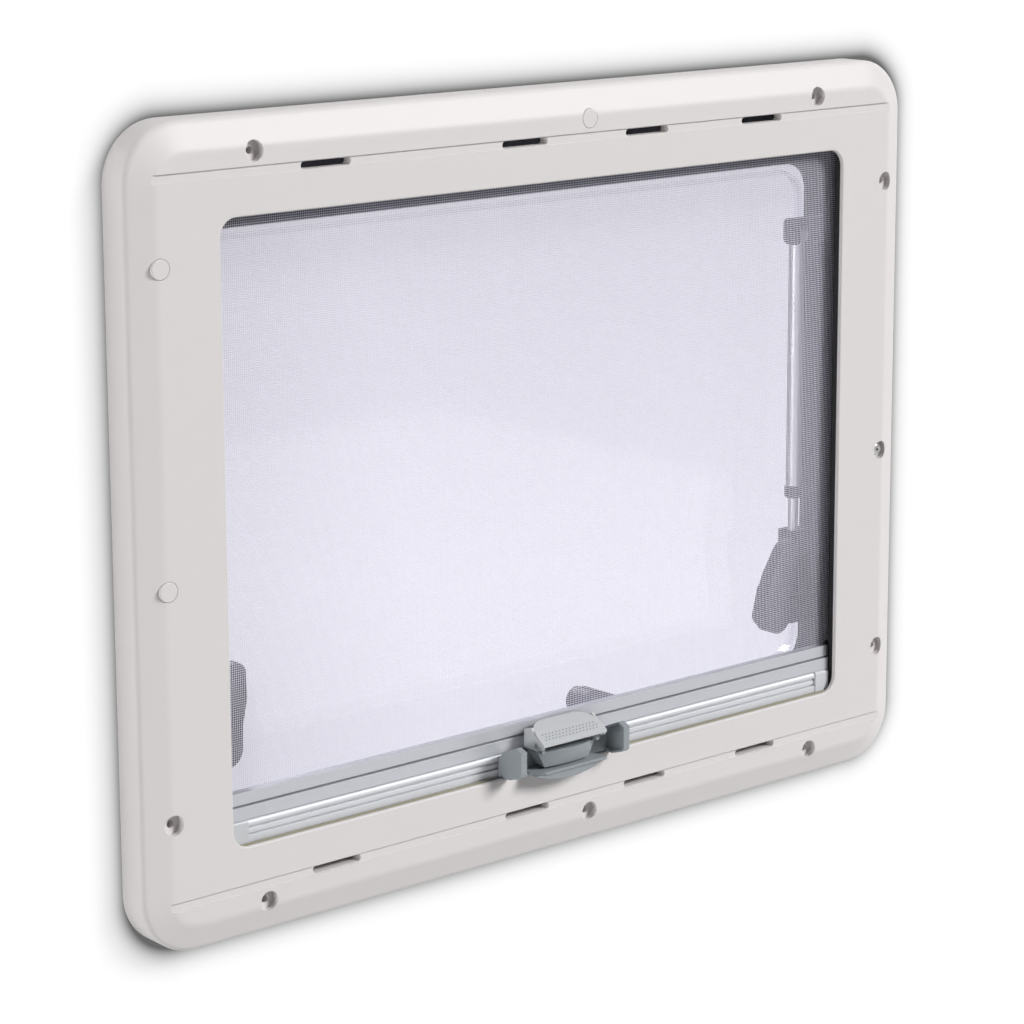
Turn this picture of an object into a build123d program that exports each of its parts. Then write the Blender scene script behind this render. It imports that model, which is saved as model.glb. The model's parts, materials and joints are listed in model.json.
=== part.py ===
from build123d import *
from math import atan, cos, degrees, radians, sin
import os

os.makedirs("parts", exist_ok=True)

# All sizes are in millimetres. The room is on the -Y side, +X is to the right seen from the room and
# +Z is up. A depth is counted outwards from the inner frame's front face, and a height from the
# window's centre.

# The wall that the window is clamped in, and its cut-out
wall_thickness = 30.0
cutout_width = 700.0
cutout_height = 550.0

# Inner frame
frame_overhang_x = 13.0
frame_overhang_z = 9.0
opening_margin_x = 57.0
opening_margin_z = 57.5
opening_radius = 13.0
frame_corner = 42.0
frame_depth = 33.0
frame_wall = 3.0
shoulder_width = 20.0
shoulder_depth = 8.0
shoulder_round = 4.0
shoulder_blend = 12.0
edge_search = 0.1
lip_round = 1.2
cutout_margin = 2.0
strip_offset = 29.9
strip_height = 6.2
strip_sink = 1.2
vent_length = 42.0
vent_height = 5.2
vent_depth = 9.0
vent_wall = 1.6
vents_across = 10
vent_steps = (-3.5, -0.5, 1.5, 3.5)
hole_inset_x = 9.0
hole_inset_z = 14.5
recess_radius = 7.15
recess_depth = 6.0
screw_hole_radius = 2.75
boss_wall = 1.8
corner_hole_inset = 85.5
side_hole_inset = 86.0
middle_hole_x = 31.0
middle_hole_z = -27.0
scoop_width = 92.0
scoop_depth = 2.2
scoop_length = 17.0
scoop_backing = 3.0

# Screw covers and the one screw that is left open
cap_gap = 0.15
cap_proud = 0.4
cap_round = 0.8
screw_head_radius = 4.6
screw_head_height = 2.6
screw_head_round = 1.2
screw_shank_radius = 2.3
screw_length = 42.0
screw_socket_radius = 1.5
screw_socket_depth = 1.4

# Outer frame, its seal and the hinge
cutout_gap = 2.0
spigot_thickness = 18.0
spigot_thickness_z = 21.0
spigot_corner = 38.0
outer_flange_overlap = 14.0
outer_flange_thickness = 4.0
outer_flange_corner = 52.0
outer_flange_round = 1.5
screw_channel_depth = 26.0
sight_margin_x = 30.0
sight_margin_top = 75.0
sight_margin_bottom = 64.0
sight_radius = 24.0
sight_flange = 3.0
collar_thickness = 1.6
seal_width = 6.0
seal_inset = 2.0
seal_height = 4.3
seal_round = 1.6
hinge_inset = 44.0
hinge_wall = 1.8
hinge_bore = 4.2
hinge_gap = 0.7
hinge_offset = 8.0
hinge_neck = 2.0
leaf_length = 13.0

# Double pane of the sash
pane_thickness = 4.0
pane_overlap_x = 4.0
pane_overlap_z = 4.0
pane_corner = 46.0
pane_edge_round = 1.4
tub_thickness = 2.5
tub_height = 11.3
tub_gap = 4.0
tub_slope = 15.0
tub_round = 2.8

# Side guides and rollers
guide_gap = 0.5
guide_wall = 1.6
guide_slot = 14.8
guide_depth = 17.5
guide_flange = 30.0
guide_reach = 26.0
guide_lip = 3.8
guide_lip_width = 3.0
carrier_wall = 3.0
carrier_inset = 1.0
mesh_depth = 12.0
mesh_thickness = 0.3
mesh_side_gap = 3.0
roller_cloth_gap = 0.15
roller_end_gap = 1.0
screen_roller_radius = 9.0
blind_roller_radius = 10.0
roller_pin_radius = 3.0
roller_pin_gap = 0.2
roller_pin_end_gap = 0.4
roller_lift = 3.0

# Flyscreen bar and blind bar
bar_gap_x = 1.5
screen_bar_lift = 36.6
screen_bar_height = 19.3
screen_ledge = 8.7
screen_groove = 1.2
screen_bar_front = 6.6
screen_bar_back = 17.4
ledge_step = 1.6
screen_groove_depth = 4.2
screen_neck_half = 2.4
screen_neck_rise = 1.5
mesh_tuck = 5.0
mesh_tuck_gap = 0.25
screen_end_plate = 1.5
screen_end_step = 0.2
tongue_thickness = 4.8
tongue_gap = 1.0
screen_tongue_rise = 2.6
bar_gap = 0.3
blind_bar_height = 18.4
blind_bar_front = 6.2
blind_bar_back = 16.4
blind_roll_radius = 3.2
blind_foot_height = 7.4
blind_foot_round = 2.6
blind_groove_depth = 2.2
blind_groove_width = 1.0
blind_band_depth = 1.0
blind_band_top = 3.9
blind_throat_depth = 2.4
blind_throat_rise = 4.5
blind_cap_length = 14.5
blind_cap_proud = 0.6
blind_cap_round = 2.0
blind_tongue_inset = 1.0

# Handle on the flyscreen bar, from its pivot: reaches go outwards and rises go up
handle_width = 62.0
handle_wall = 2.4
pivot_depth = -11.0
pivot_drop = 13.1
pivot_radius = 1.6
pivot_gap = 0.08
flap_back_reach = 13.5
flap_back_rise = 13.5
flap_crease_reach = 2.5
flap_crease_rise = 9.6
flap_front_reach = 8.5
flap_front_rise = 2.0
flap_thickness = 2.2
flap_plan_round = 17.0
cheek_peak_reach = 5.7
cheek_peak_rise = 12.0
cheek_back_rise = 9.7
cheek_back_drop = 3.1
cheek_nose_reach = 6.5
cheek_nose_drop = 2.2
cheek_low_drop = 4.5
ear_gap = 0.6
ear_radius = 3.4
ear_thickness = 3.0
body_plate = 2.0
body_plate_rise = 7.8
body_top_drop = 6.4
body_back = 1.0
body_front = 15.6
body_side_front = 9.0
body_height = 12.6
body_foot_half = 21.5
body_foot_front = 9.5

# Catch on the blind bar: a plate between two hollow lugs, and a tray with a curved keel
lug_x = 47.5
lug_thickness = 5.5
lug_wall = 1.6
lug_back = 3.0
lug_front = 20.2
lug_back_drop = 4.5
lug_top_reach = 2.5
lug_top_rise = 3.0
lug_nose_rise = 0.5
lug_nose_drop = 18.5
lug_foot_reach = 7.0
lug_foot_drop = 22.8
lug_round = 5.0
catch_plate_back = 5.8
catch_plate_front = 1.6
catch_plate_gap = 1.0
tray_half = 34.5
tray_front = 15.6
tray_back = 1.0
tray_side_half = 33.0
tray_thickness = 2.2
tray_keel_half = 33.0
tray_keel_drop = 6.4
tray_keel_front = 14.2
tray_keel_depth = 12.4

# Telescopic stays
stay_inset = 36.0
stay_lift = 10.0
stay_tube_radius = 6.2
stay_tube_wall = 1.2
stay_rod_radius = 4.0
stay_collar_radius = 7.2
stay_collar_height = 10.0
stay_collar_round = 1.5
stay_fit = 0.1
stay_top_drop = 53.0
stay_eye_radius = 8.5
stay_eye_width = 8.0
stay_neck = 3.0
stay_bore_stop = 4.0
stay_pin_radius = 3.0
stay_pin_head = 4.2
stay_pin_head_height = 1.4
bracket_wall = 2.5
bracket_gap = 0.6
bracket_flange = 8.0
stay_rod_length = 44.0
stay_rod_show = 27.0
stay_foot_rise = 117.0
stay_foot_length = 78.0
stay_foot_inner = 6.5
stay_foot_outer = 11.5
stay_foot_block = 18.0
stay_foot_slope = 12.0
stay_foot_wall = 2.5
stay_foot_plate = 5.5
stay_socket = 10.0

# Sash catches: a grip that rises towards the room, a hub on a pin and a tab behind a striker
catch_inset = 25.0
catch_rise = 50.0
bottom_catch_x = 70.0
bottom_catch_rise = 17.0
bottom_catch_angle = -20.0
catch_hub = 13.0
catch_belly = 13.4
catch_belly_reach = 36.0
bottom_catch_hub = 11.5
bottom_catch_belly = 9.5
catch_grip = 9.0
catch_length = 66.0
catch_thickness = 13.5
catch_lift = 6.5
catch_grip_lift = 13.0
bottom_catch_grip_lift = 4.0
catch_grip_thickness = 9.0
catch_flat = 15.0
catch_gap = 0.3
catch_base_radius = 10.0
catch_base_tail = 20.0
catch_pin_radius = 4.0
catch_pin_gap = 0.08
catch_pin_head = 6.5
catch_pin_head_height = 1.6
catch_tab_reach = 30.0
catch_tab_width = 13.0
catch_tab_thickness = 4.5
catch_round = 2.5
striker_gap = 5.0
striker_overlap = 6.0
striker_width = 22.0
striker_thickness = 3.0
striker_foot = 18.0
striker_foot_width = 34.0

# Places worked out from the sizes above
opening_width = cutout_width - 2 * opening_margin_x
opening_height = cutout_height - 2 * opening_margin_z
frame_width = cutout_width + 2 * frame_overhang_x
frame_height = cutout_height + 2 * frame_overhang_z
flange_land_z = frame_overhang_z - cutout_margin
centre_z = cutout_height / 2 + cutout_margin + flange_land_z / 2
hole_x = cutout_width / 2 - hole_inset_x
hole_z = cutout_height / 2 - hole_inset_z
corner_hole_x = cutout_width / 2 - corner_hole_inset
corner_hole_z = cutout_height / 2 - side_hole_inset
vent_pitch = opening_width / vents_across
strip_z = opening_height / 2 + strip_offset
spigot_half_x = cutout_width / 2 - cutout_gap
spigot_half_z = cutout_height / 2 - cutout_gap
collar_half_x = spigot_half_x - spigot_thickness
collar_half_z = spigot_half_z - spigot_thickness_z
outer_face = frame_depth + wall_thickness
flange_back = outer_face + outer_flange_thickness
sight_width = cutout_width - 2 * sight_margin_x
sight_top = cutout_height / 2 - sight_margin_top
sight_bottom = cutout_height / 2 - sight_margin_bottom
sight_height = sight_top + sight_bottom
sight_z = (sight_top - sight_bottom) / 2
rim_face = flange_back + seal_height
tub_face = rim_face - tub_height
pane_face = rim_face + tub_thickness
pane_back = pane_face + pane_thickness
pane_width = cutout_width - 2 * pane_overlap_x
pane_height = cutout_height - 2 * pane_overlap_z
hinge_length = pane_width - 2 * hinge_inset
hinge_rise = spigot_half_z + hinge_offset
leaf_bottom = pane_height / 2 - leaf_length
boss_radius = recess_radius + boss_wall
guide_x = opening_width / 2 + guide_gap
guide_front = frame_wall
slot_front = guide_front + guide_wall
slot_back = slot_front + guide_slot
guide_half = opening_height / 2 + guide_reach
cloth_back = mesh_depth + mesh_thickness / 2
screen_roller_depth = cloth_back + roller_cloth_gap + screen_roller_radius
blind_roller_depth = cloth_back + roller_cloth_gap + blind_roller_radius
screen_roller_z = opening_height / 2 + roller_lift + screen_roller_radius
blind_roller_z = -opening_height / 2 - roller_lift - blind_roller_radius
bar_end_x = opening_width / 2 - bar_gap_x
screen_bar_top = screen_bar_lift - opening_height / 2
screen_bar_bottom = screen_bar_top - screen_bar_height
blind_bar_top = screen_bar_bottom - bar_gap
blind_bar_bottom = blind_bar_top - blind_bar_height
pivot_height = screen_bar_top - pivot_drop
lug_top = pivot_height + lug_top_rise
lug_bottom = pivot_height - lug_foot_drop
stay_x = collar_half_x - stay_inset
stay_depth = tub_face - stay_lift
stay_top = sight_top - stay_top_drop
stay_foot_top = stay_foot_rise - sight_bottom
stay_foot_bottom = stay_foot_top - stay_foot_length
stay_tube_bottom = stay_foot_top + stay_rod_show + stay_collar_height
catch_x = stay_x - catch_inset
catch_z = catch_rise - sight_bottom
bottom_catch_z = bottom_catch_rise - sight_bottom
catch_back = tub_face - catch_lift
catch_front = catch_back - catch_thickness
top_holes = [(x, hole_z) for x in (-corner_hole_x, middle_hole_x, corner_hole_x)]
bottom_holes = [(x, -hole_z) for x in (-corner_hole_x, middle_hole_x, corner_hole_x)]
left_holes = [(-hole_x, z) for z in (corner_hole_z, middle_hole_z, -corner_hole_z)]
right_holes = [(hole_x, z) for z in (corner_hole_z, middle_hole_z, -corner_hole_z)]
all_holes = top_holes + bottom_holes + left_holes + right_holes
capped_holes = [top_holes[1], left_holes[0], left_holes[1]]
screwed_hole = right_holes[1]
vents = [(step * vent_pitch, side * strip_z) for side in (1, -1) for step in vent_steps]
sides = {"left": -1, "right": 1}


def facing_room(depth):
    """A plane parallel to the window, looking at the room: x to the right, y up from the centre."""
    return Plane(origin=(0, depth - frame_depth, centre_z), x_dir=(1, 0, 0), z_dir=(0, -1, 0))


def across(x):
    """A section plane across the window: x is the depth and y the height from the centre."""
    return Plane(origin=(x, -frame_depth, centre_z), x_dir=(0, 1, 0), z_dir=(1, 0, 0))


def level(z):
    """A level plane seen from above: x to the right and y the depth."""
    return Plane(origin=(0, -frame_depth, centre_z + z), x_dir=(1, 0, 0), z_dir=(0, 0, 1))


# Inner frame: the outside form with its sloped and rounded shoulder
with BuildPart() as frame_block:
    with BuildSketch(facing_room(frame_depth)):
        RectangleRounded(frame_width, frame_height, frame_corner)
    extrude(amount=frame_depth)
    front_face = frame_block.faces().sort_by(Axis.Y)[0]
    chamfer(front_face.edges(), length=shoulder_width, length2=shoulder_depth, reference=front_face)
    shoulder_y = shoulder_depth - frame_depth
    fillet(edges().filter_by_position(Axis.Y, shoulder_y - edge_search, shoulder_y + edge_search),
           shoulder_round)
    fillet(faces().sort_by(Axis.Y)[0].edges(), shoulder_blend)

# The hollow behind the face and the shoulder, less the collar round the blinds, the screw bosses, the
# vents' ducts and the flange that bears on the wall
with BuildPart() as frame_hollow:
    with BuildSketch(facing_room(frame_depth)):
        RectangleRounded(frame_width - 2 * frame_wall, frame_height - 2 * frame_wall,
                         frame_corner - frame_wall)
    extrude(amount=frame_depth - frame_wall)
    hollow_face = frame_hollow.faces().sort_by(Axis.Y)[0]
    chamfer(hollow_face.edges(), length=shoulder_width, length2=shoulder_depth, reference=hollow_face)
    with BuildSketch(facing_room(frame_depth)):
        RectangleRounded(2 * collar_half_x, 2 * collar_half_z, opening_radius)
        RectangleRounded(2 * (collar_half_x - collar_thickness), 2 * (collar_half_z - collar_thickness),
                         opening_radius - collar_thickness, mode=Mode.SUBTRACT)
    extrude(amount=frame_depth, mode=Mode.SUBTRACT)
    with BuildSketch(facing_room(frame_depth)):
        with Locations(*all_holes):
            Circle(boss_radius)
    extrude(amount=frame_depth, mode=Mode.SUBTRACT)
    with BuildSketch(facing_room(frame_depth)):
        Rectangle(frame_width, frame_height)
        RectangleRounded(cutout_width + 2 * cutout_margin, cutout_height + 2 * cutout_margin,
                         frame_corner - frame_wall - cutout_margin, mode=Mode.SUBTRACT)
    extrude(amount=frame_wall, mode=Mode.SUBTRACT)
    with BuildSketch(facing_room(0)):
        with Locations((0, -opening_height / 2 - scoop_length / 2)):
            Rectangle(scoop_width, 2 * scoop_length)
    extrude(amount=-(frame_wall + scoop_backing), mode=Mode.SUBTRACT)
    with BuildSketch(facing_room(0)):
        with Locations(*vents):
            SlotOverall(vent_length + 2 * vent_wall, vent_height + 2 * vent_wall)
    extrude(amount=-vent_depth, mode=Mode.SUBTRACT)

with BuildPart() as inner_frame:
    add(frame_block.part)
    add(frame_hollow.part, mode=Mode.SUBTRACT)
    with BuildSketch(facing_room(0)):
        RectangleRounded(opening_width, opening_height, opening_radius)
    extrude(amount=-(frame_wall + scoop_backing), mode=Mode.SUBTRACT)
    front_edges = inner_frame.faces().sort_by(Axis.Y)[0].inner_wires()[0].edges()
    fillet(front_edges, lip_round)
    scoop_radius = (scoop_width ** 2 / 4 + scoop_depth ** 2) / (2 * scoop_depth)
    scoop_tilt = degrees(atan(scoop_depth / scoop_length))
    scoop_axis = scoop_depth - frame_depth - scoop_radius / cos(radians(scoop_tilt))
    scoop_start = Plane(origin=(0, scoop_axis, centre_z - opening_height / 2), x_dir=(1, 0, 0),
                        z_dir=(0, 0, -1)).rotated((-scoop_tilt, 0, 0))
    with BuildSketch(scoop_start):
        Circle(scoop_radius)
    extrude(amount=2 * scoop_length, both=True, mode=Mode.SUBTRACT)
    with BuildSketch(facing_room(0)):
        for side in (1, -1):
            with Locations((0, side * strip_z)):
                Rectangle(frame_width - 2 * shoulder_width + strip_height, strip_height)
    extrude(amount=-strip_sink, mode=Mode.SUBTRACT)
    with BuildSketch(facing_room(0)):
        with Locations(*vents):
            SlotOverall(vent_length, vent_height)
    extrude(amount=-vent_depth, mode=Mode.SUBTRACT)
    with BuildSketch(facing_room(0)):
        with Locations(*all_holes):
            Circle(recess_radius)
    extrude(amount=-recess_depth, mode=Mode.SUBTRACT)
    with BuildSketch(facing_room(0)):
        with Locations(*all_holes):
            Circle(screw_hole_radius)
    extrude(amount=-frame_depth, mode=Mode.SUBTRACT)
inner_frame.part.label = "inner_frame"
export_step(inner_frame.part, "parts/inner_frame.step")

# Covers pressed into three of the screw recesses
with BuildPart() as screw_caps:
    with BuildSketch(facing_room(recess_depth)):
        with Locations(*capped_holes):
            Circle(recess_radius - cap_gap)
    extrude(amount=recess_depth + cap_proud)
    fillet(screw_caps.edges().group_by(Axis.Y)[0], cap_round)
screw_caps.part.label = "screw_caps"
export_step(screw_caps.part, "parts/screw_caps.step")

# The screw that holds the inner frame to the outer one, seen in an open recess
with BuildPart() as frame_screw:
    with BuildSketch(facing_room(recess_depth)):
        with Locations(screwed_hole):
            Circle(screw_head_radius)
    extrude(amount=screw_head_height)
    fillet(frame_screw.edges().group_by(Axis.Y)[0], screw_head_round)
    with BuildSketch(facing_room(recess_depth)):
        with Locations(screwed_hole):
            Circle(screw_shank_radius)
    extrude(amount=-screw_length)
    with BuildSketch(facing_room(recess_depth - screw_head_height)):
        with Locations(screwed_hole):
            RegularPolygon(screw_socket_radius, 6)
    extrude(amount=-screw_socket_depth, mode=Mode.SUBTRACT)
frame_screw.part.label = "frame_screw"
export_step(frame_screw.part, "parts/frame_screw.step")

# Outer frame: the spigot that goes through the wall and takes the screws
with BuildPart() as spigot:
    with BuildSketch(facing_room(frame_depth)):
        RectangleRounded(2 * spigot_half_x, 2 * spigot_half_z, spigot_corner)
        RectangleRounded(2 * collar_half_x, 2 * collar_half_z, opening_radius, mode=Mode.SUBTRACT)
    extrude(amount=-(wall_thickness + outer_flange_thickness))
    with BuildSketch(facing_room(frame_depth)):
        with Locations(*all_holes):
            Circle(screw_hole_radius)
    extrude(amount=-screw_channel_depth, mode=Mode.SUBTRACT)

# It is joined from two rails, which take the corners, and two stiles between them
spigot_pieces = {"outer_frame_rails": Mode.SUBTRACT, "outer_frame_stiles": Mode.INTERSECT}
for name, mode in spigot_pieces.items():
    with BuildPart() as spigot_piece:
        add(spigot.part)
        with BuildSketch(facing_room(frame_depth)):
            Rectangle(2 * cutout_width, 2 * collar_half_z)
        extrude(amount=-2 * wall_thickness, mode=mode)
    spigot_piece.part.label = name
    export_step(spigot_piece.part, f"parts/{name}.step")

# Its flange, which bears on the wall's outer skin
with BuildPart() as outer_flange:
    with BuildSketch(facing_room(outer_face)):
        RectangleRounded(cutout_width + 2 * outer_flange_overlap, cutout_height + 2 * outer_flange_overlap,
                         outer_flange_corner)
        RectangleRounded(2 * spigot_half_x, 2 * spigot_half_z, spigot_corner, mode=Mode.SUBTRACT)
    extrude(amount=-outer_flange_thickness)
    fillet(outer_flange.faces().sort_by(Axis.Y)[-1].outer_wire().edges(), outer_flange_round)
outer_flange.part.label = "outer_flange"
export_step(outer_flange.part, "parts/outer_flange.step")

# The rim inside the flange that carries the sash's seal
with BuildPart() as seal_rim:
    with BuildSketch(facing_room(flange_back)):
        RectangleRounded(2 * collar_half_x, 2 * collar_half_z, opening_radius)
        with Locations((0, sight_z)):
            RectangleRounded(sight_width, sight_height, sight_radius, mode=Mode.SUBTRACT)
    extrude(amount=sight_flange)
seal_rim.part.label = "seal_rim"
export_step(seal_rim.part, "parts/seal_rim.step")

# Rubber seal on the inward flange, pressed by the sash
with BuildPart() as outer_seal:
    with BuildSketch(facing_room(flange_back)):
        with Locations((0, sight_z)):
            RectangleRounded(sight_width + 2 * (seal_inset + seal_width),
                             sight_height + 2 * (seal_inset + seal_width),
                             sight_radius + seal_inset + seal_width)
            RectangleRounded(sight_width + 2 * seal_inset, sight_height + 2 * seal_inset,
                             sight_radius + seal_inset, mode=Mode.SUBTRACT)
    extrude(amount=-seal_height)
    fillet(outer_seal.edges().group_by(Axis.Y)[-1], seal_round)
outer_seal.part.label = "outer_seal"
export_step(outer_seal.part, "parts/outer_seal.step")

# Inner sheet of the pane: a formed tub whose rim is glued to the flat outer sheet
with BuildPart() as tub_form:
    with BuildSketch(facing_room(pane_face)):
        with Locations((0, sight_z)):
            RectangleRounded(sight_width - 2 * tub_gap, sight_height - 2 * tub_gap, sight_radius)
    extrude(amount=pane_face - tub_face, taper=tub_slope)
    fillet(tub_form.faces().sort_by(Axis.Y)[0].edges(), tub_round)

with BuildPart() as tub_hollow:
    with BuildSketch(facing_room(pane_face)):
        with Locations((0, sight_z)):
            RectangleRounded(sight_width - 2 * (tub_gap + tub_thickness),
                             sight_height - 2 * (tub_gap + tub_thickness), sight_radius - tub_thickness)
    extrude(amount=pane_face - tub_face - tub_thickness, taper=tub_slope)

with BuildPart() as pane_inner:
    with BuildSketch(facing_room(pane_face)):
        RectangleRounded(pane_width, pane_height, pane_corner)
    extrude(amount=tub_thickness)
    add(tub_form.part)
    add(tub_hollow.part, mode=Mode.SUBTRACT)
pane_inner.part.label = "pane_inner"
export_step(pane_inner.part, "parts/pane_inner.step")

# Flat outer sheet of the pane
with BuildPart() as pane_outer:
    with BuildSketch(facing_room(pane_face)):
        RectangleRounded(pane_width, pane_height, pane_corner)
    extrude(amount=-pane_thickness)
    fillet(pane_outer.edges().group_by(Axis.Y)[-1], pane_edge_round)
pane_outer.part.label = "pane_outer"
export_step(pane_outer.part, "parts/pane_outer.step")

# Hinge rail along the top of the outer flange: a round channel that is open underneath
hinge_outer = hinge_bore + hinge_wall
hinge_depth = flange_back + hinge_outer
with BuildPart() as hinge_rail:
    with BuildSketch(across(-hinge_length / 2)):
        with Locations((hinge_depth, hinge_rise)):
            Circle(hinge_outer)
        with Locations((flange_back + hinge_wall / 2, hinge_rise)):
            Rectangle(hinge_wall, 2 * hinge_outer)
        with Locations((hinge_depth, hinge_rise)):
            Circle(hinge_bore, mode=Mode.SUBTRACT)
        with Locations((hinge_depth + hinge_outer / 2, hinge_rise - hinge_outer)):
            Rectangle(hinge_outer, 2 * hinge_bore, mode=Mode.SUBTRACT)
    extrude(amount=hinge_length)
hinge_rail.part.label = "hinge_rail"
export_step(hinge_rail.part, "parts/hinge_rail.step")

# Hinge strip on the sash: a bead in the rail's channel and a leaf on the pane's outer face
bead_radius = hinge_bore - hinge_gap
neck_depth = hinge_depth + bead_radius - hinge_neck
leaf_top = hinge_rise - hinge_outer - hinge_gap
with BuildPart() as sash_hinge_strip:
    with BuildSketch(across(-hinge_length / 2)):
        with Locations((hinge_depth, hinge_rise)):
            Circle(bead_radius)
        with Locations((neck_depth + hinge_neck / 2, (leaf_top + hinge_rise) / 2)):
            Rectangle(hinge_neck, hinge_rise - leaf_top)
        with BuildLine():
            Polyline((neck_depth, leaf_top), (neck_depth + hinge_neck, leaf_top),
                     (pane_back + hinge_neck, leaf_top - hinge_neck),
                     (pane_back + hinge_neck, leaf_bottom), (pane_back, leaf_bottom),
                     (pane_back, leaf_top - hinge_neck), close=True)
        make_face()
    extrude(amount=hinge_length)
sash_hinge_strip.part.label = "sash_hinge_strip"
export_step(sash_hinge_strip.part, "parts/sash_hinge_strip.step")

# Flyscreen cloth, from its roller down into the bar
mesh_half = guide_x + guide_depth - mesh_side_gap
mesh_top = screen_roller_z
mesh_bottom = screen_bar_top - mesh_tuck
with BuildPart() as flyscreen_mesh:
    with BuildSketch(facing_room(mesh_depth + mesh_thickness / 2)):
        with Locations((0, (mesh_top + mesh_bottom) / 2)):
            Rectangle(2 * mesh_half, mesh_top - mesh_bottom)
    extrude(amount=mesh_thickness)
flyscreen_mesh.part.label = "flyscreen_mesh"
export_step(flyscreen_mesh.part, "parts/flyscreen_mesh.step")

# Rollers with their wound cloth and their pins
roller_half = guide_x - roller_end_gap
rollers = {
    "flyscreen_roller": (screen_roller_depth, screen_roller_z, screen_roller_radius),
    "blind_roller": (blind_roller_depth, blind_roller_z, blind_roller_radius),
}
for name, (depth, height, radius) in rollers.items():
    with BuildPart() as roller:
        with BuildSketch(across(-roller_half)):
            with Locations((depth, height)):
                Circle(radius)
        extrude(amount=2 * roller_half)
        with BuildSketch(across(-roller_half - roller_end_gap - guide_lip)):
            with Locations((depth, height)):
                Circle(roller_pin_radius)
        extrude(amount=2 * (roller_half + roller_end_gap + guide_lip))
    roller.part.label = name
    export_step(roller.part, f"parts/{name}.step")

# Side guides: a channel with lips for the two bars, a flange under the face and roller carriers
carrier_reach = roller_pin_radius + carrier_wall
for name, side in sides.items():
    with BuildPart() as guide:
        with BuildSketch(level(-guide_half)):
            with Locations((side * (guide_x + guide_flange / 2), guide_front + guide_wall / 2)):
                Rectangle(guide_flange, guide_wall)
            with Locations((side * (guide_x + guide_depth / 2), slot_back + guide_wall / 2)):
                Rectangle(guide_depth, guide_wall)
            web_centre = (guide_front + slot_back + guide_wall) / 2
            with Locations((side * (guide_x + guide_depth - guide_wall / 2), web_centre)):
                Rectangle(guide_wall, guide_slot + 2 * guide_wall)
            for lip_centre in (slot_front + guide_lip / 2, slot_back - guide_lip / 2):
                with Locations((side * (guide_x + guide_lip_width / 2), lip_centre)):
                    Rectangle(guide_lip_width, guide_lip)
        extrude(amount=2 * guide_half)
        for depth, height, radius in rollers.values():
            with BuildSketch(across(side * guide_x)):
                with Locations(((slot_back + depth + carrier_reach) / 2, height)):
                    Rectangle(depth + carrier_reach - slot_back, 2 * (radius - carrier_inset))
            extrude(amount=side * guide_lip)
        for depth, height, radius in rollers.values():
            with BuildSketch(across(side * guide_x)):
                with Locations((depth, height)):
                    Circle(roller_pin_radius + roller_pin_gap)
            extrude(amount=side * (guide_lip + roller_pin_end_gap), mode=Mode.SUBTRACT)
    guide.part.label = f"side_guide_{name}"
    export_step(guide.part, f"parts/side_guide_{name}.step")

# Flyscreen bar: two flat ledges with a groove between, and a slot in its top for the cloth
ledge_bottom = screen_bar_top - screen_ledge
ledge_face = screen_bar_front + ledge_step
groove_floor = screen_bar_front + screen_groove_depth
neck_back = mesh_depth + screen_neck_half
tuck_height = screen_bar_top - mesh_tuck / 2
tuck_width = mesh_thickness + 2 * mesh_tuck_gap
with BuildPart() as flyscreen_bar:
    with BuildSketch(across(-bar_end_x)):
        with BuildLine():
            Polyline((ledge_face, screen_bar_top),
                     (ledge_face, ledge_bottom),
                     (groove_floor, ledge_bottom),
                     (groove_floor, ledge_bottom - screen_groove),
                     (screen_bar_front, ledge_bottom - screen_groove),
                     (screen_bar_front, screen_bar_bottom),
                     (screen_bar_back, screen_bar_bottom),
                     (screen_bar_back, ledge_bottom),
                     (neck_back, ledge_bottom + screen_neck_rise),
                     (neck_back, screen_bar_top), close=True)
        make_face()
        with Locations((mesh_depth, tuck_height)):
            Rectangle(tuck_width, mesh_tuck + mesh_tuck_gap, mode=Mode.SUBTRACT)
    extrude(amount=2 * bar_end_x)
flyscreen_bar.part.label = "flyscreen_bar"
export_step(flyscreen_bar.part, "parts/flyscreen_bar.step")

# Blind bar: a round ribbed top, a small step and a rounded foot
foot_top = blind_bar_bottom + blind_foot_height
foot_side = blind_bar_front + blind_foot_round
foot_lift = blind_bar_bottom + blind_foot_round
foot_bulge = blind_foot_round * (1 - cos(radians(45)))
band_face = blind_bar_front + blind_band_depth
band_bottom = foot_top + blind_groove_width
throat = (blind_bar_front + blind_throat_depth, foot_top + blind_throat_rise)
roll_centre = (blind_bar_front + blind_roll_radius, blind_bar_top - blind_roll_radius)
blind_bar_end = bar_end_x - blind_cap_length
with BuildPart() as blind_bar:
    with BuildSketch(across(-blind_bar_end)):
        with Locations(roll_centre):
            Circle(blind_roll_radius)
        with BuildLine():
            Polyline((roll_centre[0], blind_bar_top), (blind_bar_back, blind_bar_top),
                     (blind_bar_back, blind_bar_bottom), (foot_side, blind_bar_bottom))
            ThreePointArc((foot_side, blind_bar_bottom),
                          (blind_bar_front + foot_bulge, blind_bar_bottom + foot_bulge),
                          (blind_bar_front, foot_lift))
            Polyline((blind_bar_front, foot_lift), (blind_bar_front, foot_top),
                     (blind_bar_front + blind_groove_depth, foot_top),
                     (blind_bar_front + blind_groove_depth, band_bottom), (band_face, band_bottom),
                     (band_face, foot_top + blind_band_top), throat, (roll_centre[0], blind_bar_top))
        make_face()
    extrude(amount=2 * blind_bar_end)
blind_bar.part.label = "blind_bar"
export_step(blind_bar.part, "parts/blind_bar.step")

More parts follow.
